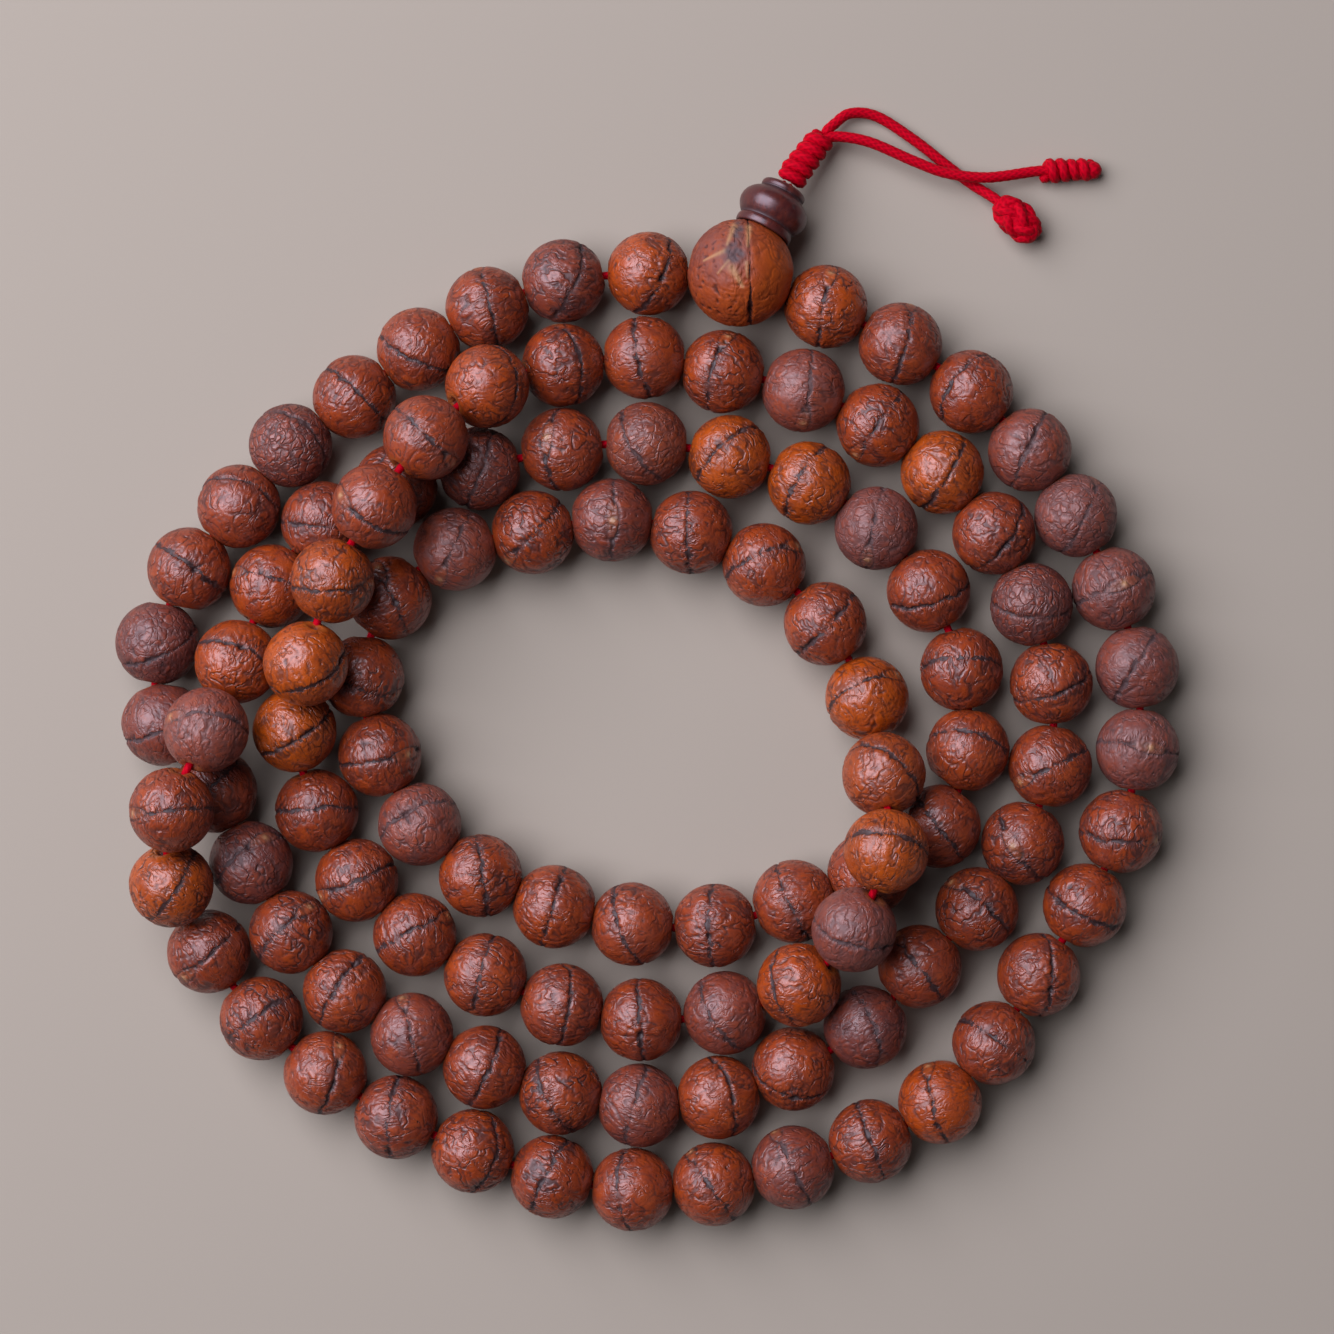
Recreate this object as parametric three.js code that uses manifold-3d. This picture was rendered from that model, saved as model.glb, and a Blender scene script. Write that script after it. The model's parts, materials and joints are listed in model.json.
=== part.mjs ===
// A prayer-bead mala lying in a loose coil: 108 bodhi seeds and a larger guru bead on a braided cord,
// closed by a turned wooden stopper, a snake knot and two tails with stopper knots.
// Millimetres, +Z up. The origin is on the surface it lies on, under the middle of the coil.
import * as THREE from "three";
import { mergeVertices } from "three/addons/utils/BufferGeometryUtils.js";
import Module from "manifold-3d";

const wasm = await Module();
wasm.setup();

// ---- driving dimensions ----
const BEADS = 108;
const SLOTS = BEADS + 1; // slot 0 is the guru bead
const LAST_SLOT = BEADS;
const BEAD_SIDES = 8;
const BEAD_RADIUS = 5.25; // to the corners of the eight-sided section
const BEAD_REST = BEAD_RADIUS * Math.cos(Math.PI / BEAD_SIDES); // centre height, one flat down
const BEAD_FLAT = 1.3; // half length of the widest part, along the cord
const BEAD_SHOULDER = { r: 3.7, y: 3.45 };
const BEAD_MOUTH = { r: 1.7, y: 4.5 }; // edge of the drilled hole at each end
const BORE_THROAT = 1.05;
const NECK = { outer: 2.3, bore: 1.5 }; // worn flats where two beads of a run press together

const GURU_SIDES = 12;
const GURU_RADIUS = 6.5;
const GURU_REST = GURU_RADIUS * Math.cos(Math.PI / GURU_SIDES);
const GURU_HALF_LENGTH = 5.8; // along the strand
const GURU_BORE = { throat: 1.5, mouth: 2.1 };
const GURU_TOP_BORE = 1.1;

const THREAD_RADIUS = 0.5;
const THREAD_SIDES = 6;
const THREAD_STEPS = 190;
const THREAD_INSET = 0.12; // share of its first and last step that the thread leaves free in the guru bead
const NECK_START = 1.1; // where the ends led up to the knot begin, from the guru bead's centre
const CORD_RADIUS = 0.7;
const CORD_SIDES = 8;
const GAP = 0.3; // between pieces that touch on the real object
const WELD = 1e-4; // corners this close are one

// The tassel end leaves the guru bead along one line, then bends at the stopper's mouth.
const STOPPER_HEADING = THREE.MathUtils.degToRad(62.5); // in plan, from +X
const STOPPER_DIP = THREE.MathUtils.degToRad(8); // it droops towards the surface
const STOPPER_BASE = 5.75; // from the guru bead's centre
const STOPPER_HEIGHT = 6.8;
const STOPPER_SIDES = 16;
const KNOT_GAP = 0.5; // from the stopper's mouth, which lets the knot bend
const SNAKE_KNOT = { length: 7.9, radius: 1.8, turns: 5, heading: 53.5, tip: 2.3 };

// ---- how the strand lies: every second slot from the guru bead round the coil, [x, y, z] ----
const LAY = [
  [9.5, 48.5, 6], [-11.5, 48, 4.5], [-29.5, 39.5, 4.5], [-44, 27.5, 4.5], [-56.5, 13, 4.5],
  [-59, -6, 4.5], [-49, -23, 4.5], [-38, -38, 4.5], [-21.5, -47.5, 4.5], [-2.5, -52.5, 4.5],
  [16.5, -48, 4.5], [32, -35.5, 4.5], [44.5, -20.5, 4.5], [48, -1, 4.5], [41, 17.5, 4.5],
  [27, 30.5, 4.5], [8, 37.5, 4.5], [-11, 38, 5.5], [-28, 28.5, 12.5], [-38.5, 11, 12.5],
  [-44, -8, 7], [-37, -25, 4.5], [-21, -36.5, 4.5], [-2, -42, 4.5], [17, -38, 9.5],
  [28, -21.5, 14.5], [25.5, -2, 4.5], [13, 13.5, 4.5], [-6.5, 19, 4.5], [-25, 14.5, 4.5],
  [-36.5, -0.5, 4.5], [-29.5, -17.5, 4.5], [-13, -28, 4.5], [7, -30.5, 4.5], [26, -24, 4.5],
  [38, -9.5, 4.5], [33, 10.5, 4.5], [18.5, 23.5, 4.5], [-1.5, 28, 4.5], [-21, 26, 4.5],
  [-41.5, 19, 4.5], [-51, 3, 10], [-57.5, -15.5, 12], [-54, -34.5, 4.5], [-40.5, -48.5, 4.5],
  [-22.5, -58, 4.5], [-3, -62.5, 4.5], [16.5, -60, 4.5], [34.5, -52, 4.5], [46.5, -36.5, 4.5],
  [56.5, -19, 4.5], [58.5, 1, 4.5], [51, 19.5, 4.5], [38.5, 34.5, 4.5], [20.5, 45, 4.5],
];

// Where the beads end up: they push each other apart, keep to the cord's length, and sink until they rest.
const STRUNG = { least: 9.75, most: 10.4 }; // distance between neighbours on the cord
const SECOND_LEAST = 19.2; // between every other bead, which is how sharply the strand can bend
const BESIDE_LEAST = 10.25; // between turns of the coil that lie side by side
const STACKED_LEAST = 10.6; // between turns where one climbs over the other
const CLIMB = 1; // difference in height that counts as climbing
const GURU_EXTRA = 1.55; // the guru bead is that much larger
const SETTLE = { rounds: 160, sinking: 110, sink: 0.05, pull: 0.04 };

function allowedDistance(i, j, climb) {
  const steps = Math.min(j - i, SLOTS - j + i);
  const extra = i === 0 ? GURU_EXTRA : 0;
  if (steps === 1) return [STRUNG.least + extra, STRUNG.most + extra];
  if (steps === 2) return [SECOND_LEAST + extra, Infinity];
  return [(climb > CLIMB ? STACKED_LEAST : BESIDE_LEAST) + extra, Infinity];
}

function settledCentres() {
  const lay = LAY.map((p) => new THREE.Vector3(...p));
  const curve = new THREE.CatmullRomCurve3(lay, true, "catmullrom", 0.5);
  const start = Array.from({ length: SLOTS }, (_, k) => curve.getPoint(k / 2 / LAY.length));
  const centres = start.map((p) => p.clone());
  const keepOff = (c, k) => (c.z = Math.max(c.z, k === 0 ? GURU_REST : BEAD_REST));
  for (let round = 0; round < SETTLE.rounds; round++) {
    if (round < SETTLE.sinking)
      centres.forEach((c, k) => {
        c.x += (start[k].x - c.x) * SETTLE.pull;
        c.y += (start[k].y - c.y) * SETTLE.pull;
        c.z -= SETTLE.sink;
      });
    centres.forEach(keepOff);
    for (let i = 0; i < SLOTS; i++)
      for (let j = i + 1; j < SLOTS; j++) {
        const between = centres[j].clone().sub(centres[i]);
        const length = between.length();
        const allowed = allowedDistance(i, j, Math.abs(between.z));
        const wanted = THREE.MathUtils.clamp(length, ...allowed);
        if (wanted === length) continue;
        between.multiplyScalar((wanted - length) / 2 / length);
        centres[i].sub(between);
        centres[j].add(between);
      }
  }
  centres.forEach(keepOff);
  return centres;
}

const centres = settledCentres();
const UP = new THREE.Vector3(0, 0, 1);

// A bead's own axes: y runs along the cord, and z as near to straight up as that lets it.
// A bead that the cord tilts near the surface stands on the lower end of its flat.
const frames = centres.map((c, k) => {
  const before = centres[(k + SLOTS - 1) % SLOTS];
  const after = centres[(k + 1) % SLOTS];
  const along = after.clone().sub(before).normalize();
  if (k === 0) return frameOf(c, along.setZ(0).normalize());
  const tilt = Math.asin(Math.abs(along.z));
  c.z = Math.max(c.z, BEAD_REST * Math.cos(tilt) + BEAD_FLAT * Math.sin(tilt));
  return frameOf(c, along);
});

function frameOf(origin, along) {
  const side = along.clone().cross(UP).normalize();
  return new THREE.Matrix4().makeBasis(side, along, side.clone().cross(along)).setPosition(origin);
}

// ---- helpers ----
const vec2 = (r, y) => new THREE.Vector2(r, y);
const material = (color, roughness) => new THREE.MeshStandardMaterial({ color, roughness, metalness: 0 });
const SEED_MATERIAL = () => material("#8a3f1c", 0.45);
const DARK_SEED_MATERIAL = () => material("#6b3226", 0.5);
const CORD_MATERIAL = () => material("#c40d22", 0.6);
const WOOD_MATERIAL = () => material("#552318", 0.35);

const mala = new THREE.Group();
mala.position.set(1.23, 0.04, 0); // brings the origin under the middle of the object's box

function add(name, geometry, finish) {
  const mesh = new THREE.Mesh(geometry, finish);
  mesh.name = name;
  mala.add(mesh);
  return mesh;
}

// A closed ring of profile points turned about Y, with one flat facing local -Z.
function turned(profile, sides) {
  return new THREE.LatheGeometry([...profile, profile[0]], sides, Math.PI / sides);
}

function tube(points, radius, sides, steps) {
  const outline = new THREE.Shape();
  for (let i = 0; i < sides; i++) {
    const angle = (2 * Math.PI * i) / sides;
    outline[i ? "lineTo" : "moveTo"](radius * Math.cos(angle), radius * Math.sin(angle));
  }
  const path = new THREE.CatmullRomCurve3(points);
  return new THREE.ExtrudeGeometry(outline, { steps, extrudePath: path });
}

function solidOf(geometry) {
  const bare = geometry.clone().deleteAttribute("normal").deleteAttribute("uv");
  const merged = mergeVertices(bare, WELD);
  return new wasm.Manifold(
    new wasm.Mesh({
      numProp: 3,
      vertProperties: merged.attributes.position.array,
      triVerts: new Uint32Array(merged.index.array),
    }),
  );
}

function geometryOf(solid) {
  const { vertProperties, triVerts } = solid.getMesh();
  return new THREE.BufferGeometry()
    .setAttribute("position", new THREE.BufferAttribute(vertProperties, 3))
    .setIndex(new THREE.BufferAttribute(triVerts, 1));
}

// ---- beads ----
// The profile of a straight row of beads, BEAD_SPACE apart, with the drilled hole right through.
const BEAD_SPACE = 12;

function rowProfile(count) {
  const outside = [];
  const bore = [];
  for (let j = 0; j < count; j++) {
    const y = j * BEAD_SPACE;
    outside.push(vec2(j ? NECK.outer : BEAD_MOUTH.r, y - (j ? BEAD_SPACE / 2 : BEAD_MOUTH.y)));
    outside.push(vec2(BEAD_SHOULDER.r, y - BEAD_SHOULDER.y), vec2(BEAD_RADIUS, y - BEAD_FLAT));
    outside.push(vec2(BEAD_RADIUS, y + BEAD_FLAT), vec2(BEAD_SHOULDER.r, y + BEAD_SHOULDER.y));
    if (j) bore.unshift(vec2(NECK.bore, y - BEAD_SPACE / 2));
    bore.unshift(vec2(BORE_THROAT, y));
  }
  outside.push(vec2(BEAD_MOUTH.r, (count - 1) * BEAD_SPACE + BEAD_MOUTH.y));
  return [...outside, ...bore];
}

// Moves a straight row onto the strand: each bead keeps its shape, and the necks take up the bends.
function layRow(geometry, first) {
  const position = geometry.attributes.position;
  const point = new THREE.Vector3();
  for (let i = 0; i < position.count; i++) {
    point.fromBufferAttribute(position, i);
    const row = point.y / BEAD_SPACE;
    const isNeck = Math.abs(row - Math.floor(row) - 0.5) < 0.01;
    const slot = first + Math.round(isNeck ? row - 0.5 : row);
    point.y = isNeck ? 0 : point.y - (slot - first) * BEAD_SPACE;
    point.applyMatrix4(isNeck ? neckFrame(slot) : frames[slot]);
    position.setXYZ(i, ...point);
  }
  return geometry;
}

function neckFrame(slot) {
  const [a, b] = [centres[slot], centres[slot + 1]];
  return frameOf(a.clone().lerp(b, 0.5), b.clone().sub(a).normalize());
}

const threeDigits = (k) => String(k).padStart(3, "0");

function loneBead(slot) {
  const geometry = turned(rowProfile(1), BEAD_SIDES);
  const bead = add(`bead_${threeDigits(slot)}`, geometry, SEED_MATERIAL());
  bead.applyMatrix4(frames[slot]);
}

function beadRun(first, last) {
  const geometry = layRow(turned(rowProfile(last - first + 1), BEAD_SIDES), first);
  add(`beads_${threeDigits(first)}_${threeDigits(last)}`, geometry, DARK_SEED_MATERIAL());
}

// Every fourth bead is free on the cord, and the beads between two free ones make a run.
const FIRST_FREE = 5;
const LAST_FREE = 97;
const FREE_EVERY = 4;
for (let slot = FIRST_FREE; slot <= LAST_FREE; slot += FREE_EVERY) {
  loneBead(slot);
  beadRun(slot + 1, slot + FREE_EVERY - 1);
}
// beside the guru bead the runs are of four
beadRun(1, 4);
beadRun(101, 104);
beadRun(105, LAST_SLOT);

// ---- guru bead, with its side-to-side bore and the third hole that meets it from the top ----
const guruCentre = centres[0];
const stopperAxis = new THREE.Vector3(
  Math.cos(STOPPER_HEADING) * Math.cos(STOPPER_DIP),
  Math.sin(STOPPER_HEADING) * Math.cos(STOPPER_DIP),
  -Math.sin(STOPPER_DIP),
);
const onStopperAxis = (distance) => guruCentre.clone().addScaledVector(stopperAxis, distance);

const guruProfile = [
  vec2(GURU_BORE.mouth, -GURU_HALF_LENGTH),
  vec2(4.0, -4.9),
  vec2(5.9, -3.0),
  vec2(GURU_RADIUS, -1.2),
  vec2(GURU_RADIUS, 1.2),
  vec2(5.9, 3.0),
  vec2(4.0, 4.9),
  vec2(GURU_BORE.mouth, GURU_HALF_LENGTH),
  vec2(GURU_BORE.throat, 0),
];
const guruBody = turned(guruProfile, GURU_SIDES).applyMatrix4(frames[0]);
const topBore = new THREE.CylinderGeometry(GURU_TOP_BORE, GURU_TOP_BORE, GURU_RADIUS + 2, CORD_SIDES);
topBore.translate(0, (GURU_RADIUS + 2) / 2, 0).applyMatrix4(frameOf(guruCentre, stopperAxis));
add("guru_bead", geometryOf(solidOf(guruBody).subtract(solidOf(topBore))), SEED_MATERIAL());

// ---- stopper: a turned vase with a hollow seat over the guru bead ----
const stopperProfile = [
  vec2(0.95, 1.35),
  vec2(2.9, 0.35),
  vec2(3.25, 0.0),
  vec2(3.6, 0.2),
  vec2(3.6, 0.9),
  vec2(3.4, 1.2),
  vec2(4.1, 2.0),
  vec2(4.4, 3.0),
  vec2(4.1, 4.2),
  vec2(3.4, 5.1),
  vec2(2.55, 5.6),
  vec2(2.75, 6.1),
  vec2(2.65, STOPPER_HEIGHT),
  vec2(1.2, STOPPER_HEIGHT),
];
add("guru_stopper", turned(stopperProfile, STOPPER_SIDES), WOOD_MATERIAL()).applyMatrix4(
  frameOf(onStopperAxis(STOPPER_BASE), stopperAxis),
);

// ---- the cord inside: one thread through every bead, and its two ends led up to the knot ----
const throughBeads = [...centres, centres[0]];
throughBeads[0] = centres[0].clone().lerp(centres[1], THREAD_INSET);
throughBeads[SLOTS] = centres[0].clone().lerp(centres[LAST_SLOT], THREAD_INSET);
add("strand_cord", tube(throughBeads, THREAD_RADIUS, THREAD_SIDES, THREAD_STEPS), CORD_MATERIAL());

const mouth = onStopperAxis(STOPPER_BASE + STOPPER_HEIGHT);
const neck = [onStopperAxis(NECK_START), mouth];
add("neck_cord", tube(neck, THREAD_RADIUS, THREAD_SIDES, 1), CORD_MATERIAL());

// ---- snake knot: a stack of swelling turns ----
const knotHeading = THREE.MathUtils.degToRad(SNAKE_KNOT.heading);
const knotBase = mouth.clone().addScaledVector(stopperAxis, KNOT_GAP);
const knotRun = new THREE.Vector3(Math.cos(knotHeading), Math.sin(knotHeading), 0);
const knotDrop = knotBase.z - SNAKE_KNOT.tip;
knotRun.multiplyScalar(Math.sqrt(SNAKE_KNOT.length ** 2 - knotDrop ** 2)).setZ(-knotDrop);
const knotAxis = knotRun.clone().normalize();
const knotTip = knotBase.clone().add(knotRun);

const END_SHARE = 0.8; // a knot's end and the waists between its turns, as shares of its radius
const WAIST_SHARE = 0.85;

function wrappedProfile({ length, radius, turns }) {
  const profile = [vec2(0, 0), vec2(radius * END_SHARE, 0)];
  for (let turn = 0; turn < turns; turn++) {
    const y = (length * (turn + 0.5)) / turns;
    profile.push(vec2(radius, y));
    if (turn < turns - 1) profile.push(vec2(radius * WAIST_SHARE, y + length / turns / 2));
  }
  profile.push(vec2(radius * END_SHARE, length), vec2(0, length));
  return profile;
}

function wrappedKnot(name, knot, base, axis) {
  const geometry = new THREE.LatheGeometry(wrappedProfile(knot), CORD_SIDES, Math.PI / CORD_SIDES);
  add(name, geometry, CORD_MATERIAL()).applyMatrix4(frameOf(base, axis));
}

wrappedKnot("snake_knot", SNAKE_KNOT, knotBase, knotAxis);

// ---- tails: the short one arches and passes under, the long one runs straighter and passes over ----
const TAIL_STEPS = 12;
const SHORT_TAIL = [
  [21.7, 67.7, 1.9], [23.7, 69.1, 1.3], [27, 68.8, 0.8], [31.6, 65.9, 0.75], [35.5, 62.85, 0.75],
  [38.7, 60.45, 0.9], [41.4, 58.6, 1.7],
];
const LONG_TAIL = [
  [21.9, 66.1, 2.4], [26, 65.4, 2.5], [31.5, 63.05, 2.5], [35.5, 61.6, 2.5], [40.5, 61.1, 2.3],
  [46.4, 61.95, 1.55],
];
const BUTTON_KNOT = { length: 7, radius: 2.3, turns: 3 };
const BARREL_KNOT = { length: 7.9, radius: 1.5, turns: 4 };

function tail(name, route, knotName, knot, knotHeadingDegrees) {
  const points = route.map((p) => new THREE.Vector3(...p));
  add(name, tube(points, CORD_RADIUS, CORD_SIDES, TAIL_STEPS), CORD_MATERIAL());
  const heading = THREE.MathUtils.degToRad(knotHeadingDegrees);
  const axis = new THREE.Vector3(Math.cos(heading), Math.sin(heading), 0);
  const base = points.at(-1).clone().addScaledVector(axis, GAP);
  base.z = knot.radius * Math.cos(Math.PI / CORD_SIDES);
  wrappedKnot(knotName, knot, base, axis);
}

tail("tail_short", SHORT_TAIL, "end_knot_button", BUTTON_KNOT, -44);
tail("tail_long", LONG_TAIL, "end_knot_barrel", BARREL_KNOT, 2.5);

export default mala;
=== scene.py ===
"""A prayer-bead mala lying in a loose coil, seen from straight above.

Wrinkled bodhi seeds on a red braided cord, a larger guru seed, a turned wooden stopper, a snake knot
and two tails with stopper knots. Shapes are worked out in millimetres and made in metres.
"""

import itertools
import json
import math

import bpy
import numpy as np
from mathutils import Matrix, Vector


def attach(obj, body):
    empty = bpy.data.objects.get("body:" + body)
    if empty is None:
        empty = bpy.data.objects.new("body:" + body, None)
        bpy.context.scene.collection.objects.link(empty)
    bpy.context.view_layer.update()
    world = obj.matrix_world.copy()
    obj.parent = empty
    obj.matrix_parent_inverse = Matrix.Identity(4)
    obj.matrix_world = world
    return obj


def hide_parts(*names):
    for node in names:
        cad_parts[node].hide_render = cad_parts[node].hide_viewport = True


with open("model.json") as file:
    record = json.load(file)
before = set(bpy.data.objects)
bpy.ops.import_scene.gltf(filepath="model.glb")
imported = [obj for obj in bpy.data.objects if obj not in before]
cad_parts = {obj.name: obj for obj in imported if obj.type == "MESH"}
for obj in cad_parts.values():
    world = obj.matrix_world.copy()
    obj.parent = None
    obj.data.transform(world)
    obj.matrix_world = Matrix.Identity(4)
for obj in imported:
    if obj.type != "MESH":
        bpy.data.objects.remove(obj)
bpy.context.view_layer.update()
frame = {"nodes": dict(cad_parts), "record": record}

MM = 0.001

# ---- sizes, in millimetres ----
BEADS = 108
SLOTS = BEADS + 1  # slot 0 is the guru bead
BEAD_REST = 5.25 * math.cos(math.pi / 8)  # height of a resting bead's centre
BEAD_FLAT = 1.3
GURU_REST = 6.5 * math.cos(math.pi / 12)
GROUP_SHIFT = np.array([1.23, 0.04, 0.0])  # from the lay's own middle to the frame's origin

SEED_RADIUS = 5.14  # before its lumps and wrinkles
SEED_MOST = 5.11  # the furthest a seed reaches from its middle, so that it turns clear of its neighbours
SEED_CAP = 0.02  # a seed stops this far short of the plane where it meets its neighbour
SLIDE_CAP = 0.27  # and this far where one of the two slides on the cord
SEED_DIVISIONS = 40  # along each side of the cube that is rounded into a seed
GURU_RADIUS = 6.56
GURU_HALF_LENGTH = 6.5
GURU_DIVISIONS = 64
GURU_KEY = 71.3  # shifts its noise away from the seeds'
NO_STAR = 9.0  # a distance from the star that is out of its reach
FLOOR_CLEARANCE = 0.02

STRAND_CORD_RADIUS = 0.5
TAIL_RADIUS = 0.68
NECK_CORD_RADIUS = 0.42
BRAID_STRANDS = 12
BRAID_PITCH = 3.0  # along the cord, for one strand's full turn

STOPPER_HEADING = math.radians(62.5)
STOPPER_DIP = math.radians(8)
STOPPER_BASE = 5.75  # from the guru bead's centre
STOPPER_HEIGHT = 6.8
SNAKE_GAP = 0.5  # from the stopper's mouth to the snake knot
SNAKE_LENGTH, SNAKE_HEADING, SNAKE_TIP = 7.9, math.radians(53.5), 2.3  # its tip's height comes last
NECK_START = 1.1  # from the guru bead's centre

# ---- how the strand lies: every second slot from the guru bead round the coil, [x, y, z] ----
LAY = [
    [9.5, 48.5, 6], [-11.5, 48, 4.5], [-29.5, 39.5, 4.5], [-44, 27.5, 4.5], [-56.5, 13, 4.5],
    [-59, -6, 4.5], [-49, -23, 4.5], [-38, -38, 4.5], [-21.5, -47.5, 4.5], [-2.5, -52.5, 4.5],
    [16.5, -48, 4.5], [32, -35.5, 4.5], [44.5, -20.5, 4.5], [48, -1, 4.5], [41, 17.5, 4.5],
    [27, 30.5, 4.5], [8, 37.5, 4.5], [-11, 38, 5.5], [-28, 28.5, 12.5], [-38.5, 11, 12.5],
    [-44, -8, 7], [-37, -25, 4.5], [-21, -36.5, 4.5], [-2, -42, 4.5], [17, -38, 9.5],
    [28, -21.5, 14.5], [25.5, -2, 4.5], [13, 13.5, 4.5], [-6.5, 19, 4.5], [-25, 14.5, 4.5],
    [-36.5, -0.5, 4.5], [-29.5, -17.5, 4.5], [-13, -28, 4.5], [7, -30.5, 4.5], [26, -24, 4.5],
    [38, -9.5, 4.5], [33, 10.5, 4.5], [18.5, 23.5, 4.5], [-1.5, 28, 4.5], [-21, 26, 4.5],
    [-41.5, 19, 4.5], [-51, 3, 10], [-57.5, -15.5, 12], [-54, -34.5, 4.5], [-40.5, -48.5, 4.5],
    [-22.5, -58, 4.5], [-3, -62.5, 4.5], [16.5, -60, 4.5], [34.5, -52, 4.5], [46.5, -36.5, 4.5],
    [56.5, -19, 4.5], [58.5, 1, 4.5], [51, 19.5, 4.5], [38.5, 34.5, 4.5], [20.5, 45, 4.5],
]
STRUNG_LEAST, STRUNG_MOST = 9.75, 10.4
SECOND_LEAST = 19.2
BESIDE_LEAST = 10.25
STACKED_LEAST = 10.6
CLIMB = 1
GURU_EXTRA = 1.55
ROUNDS, SINKING, SINK, PULL = 160, 110, 0.05, 0.04

# ---- the tails: the short one arches and passes under, the long one runs straighter and over ----
SHORT_TAIL = [
    [21.7, 67.7, 1.9], [23.7, 69.1, 1.3], [27, 68.8, 0.8], [31.6, 65.9, 0.75], [35.5, 62.85, 0.75],
    [38.7, 60.45, 0.9], [41.4, 58.6, 1.7],
]
LONG_TAIL = [
    [21.9, 66.1, 2.4], [26, 65.4, 2.5], [31.5, 63.05, 2.5], [35.5, 61.6, 2.5], [40.5, 61.1, 2.3],
    [46.4, 61.95, 1.55],
]
BUTTON_LENGTH, BUTTON_RADIUS, BUTTON_HEADING = 7.0, 2.3, math.radians(-44)
BARREL_LENGTH, BARREL_RADIUS, BARREL_HEADING = 7.9, 1.5, math.radians(2.5)
END_GAP = 0.3  # from a tail's last point to its knot
TUCKED = 2.0  # how far a tail starts inside the snake knot

FREE = range(5, BEADS - 10, 4)  # beads that move on the cord by themselves
SLIDING = {37, 49, 85}  # those of them that slide, while the others turn

# pale rays on the guru seed's upper face: start and end, right of and above its middle, and width
GURU_RAYS = (
    ((-0.75, 5.3), (-1.7, 2.8), 0.36), ((0.95, 5.2), (0.75, 2.6), 0.34), ((-1.9, 2.1), (-4.5, 1.0), 0.24),
    ((-1.5, 0.9), (-2.9, -0.7), 0.16), ((-1.2, 0.0), (0.15, -2.3), 0.42), ((0.6, 0.6), (0.7, -1.2), 0.2),
)

# ---- how single seeds look from above ----
STAR_UP = {1, 8, 20, 28, 46, 62, 66, 82, 98, 105}
HILUM_UP = {24, 56, 77, 101, 103}
CRACKLED = {6, 9, 27, 73, 76, 78, 104}
BRIGHT = {1, 29, 35, 39, 40, 48, 50, 52, 74, 75, 82, 85, 96, 108}
DULL = {2, 6, 9, 10, 12, 15, 18, 21, 27, 31, 47, 49, 56, 58, 73, 76, 78, 83, 94, 101, 102, 104, 105}
PALE_DULL = {31, 49, 58, 62, 73, 83, 101, 102, 103, 104, 105}  # dusty with a lavender cast

# each material's darkest, middle and brightest colour, its roughness and how strongly it shines
SEED_LOOKS = {
    "seed_orange": ((0.20, 0.032, 0.010), (0.32, 0.052, 0.006), (0.46, 0.080, 0.003), 0.27, 0.92),
    "seed_brown": ((0.165, 0.026, 0.012), (0.275, 0.040, 0.008), (0.41, 0.064, 0.004), 0.28, 0.92),
    "seed_dark": ((0.135, 0.026, 0.018), (0.235, 0.038, 0.012), (0.34, 0.052, 0.007), 0.31, 0.92),
    "guru_seed": ((0.19, 0.034, 0.014), (0.34, 0.058, 0.010), (0.44, 0.080, 0.008), 0.44, 0.36),
}

rng = np.random.default_rng(108)


# ---- camera, floor and light ----
def make_camera():
    data = bpy.data.cameras.new("camera")
    camera = bpy.data.objects.new("camera", data)
    bpy.context.scene.collection.objects.link(camera)
    distance, view_width, focus_height = 0.45, 0.1627, 0.005
    data.sensor_width = 36
    data.lens = data.sensor_width * distance / view_width
    data.clip_start, data.clip_end = 0.01, 10
    camera.location = (0.00239, 0.00108, focus_height + distance)
    bpy.context.scene.camera = camera


def make_light(name, size, energy, colour, position, target=(0, 0, 0)):
    data = bpy.data.lights.new(name, "AREA")
    data.shape, data.size, data.size_y = "RECTANGLE", size[0], size[1]
    data.energy, data.color = energy, colour
    light = bpy.data.objects.new(name, data)
    bpy.context.scene.collection.objects.link(light)
    light.location = position
    direction = Vector(target) - Vector(position)
    light.rotation_euler = direction.to_track_quat("-Z", "Y").to_euler()


def make_surroundings():
    half = 1.5
    mesh = bpy.data.meshes.new("floor")
    corners = [(-half, -half, 0), (half, -half, 0), (half, half, 0), (-half, half, 0)]
    mesh.from_pydata(corners, [], [(0, 1, 2, 3)])
    floor = bpy.data.objects.new("floor", mesh)
    bpy.context.scene.collection.objects.link(floor)
    surface = Nodes("floor")
    surface.shader.inputs["Base Color"].default_value = (0.385, 0.350, 0.305, 1)
    surface.shader.inputs["Roughness"].default_value = 0.9
    mesh.materials.append(surface.material)
    world = bpy.data.worlds.new("world")
    world.use_nodes = True
    sky = world.node_tree.nodes["Background"]
    sky.inputs["Color"].default_value = (0.86, 0.84, 0.94, 1)
    sky.inputs["Strength"].default_value = 0.035
    bpy.context.scene.world = world
    bpy.context.scene.view_settings.view_transform = "Standard"
    make_light("window", (0.92, 0.80), 11.6, (0.97, 0.93, 1.0), (-0.42, 0.25, 0.59))
    make_light("fill", (0.6, 0.6), 0.12, (1.0, 0.84, 0.70), (0.5, -0.35, 0.55))


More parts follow.
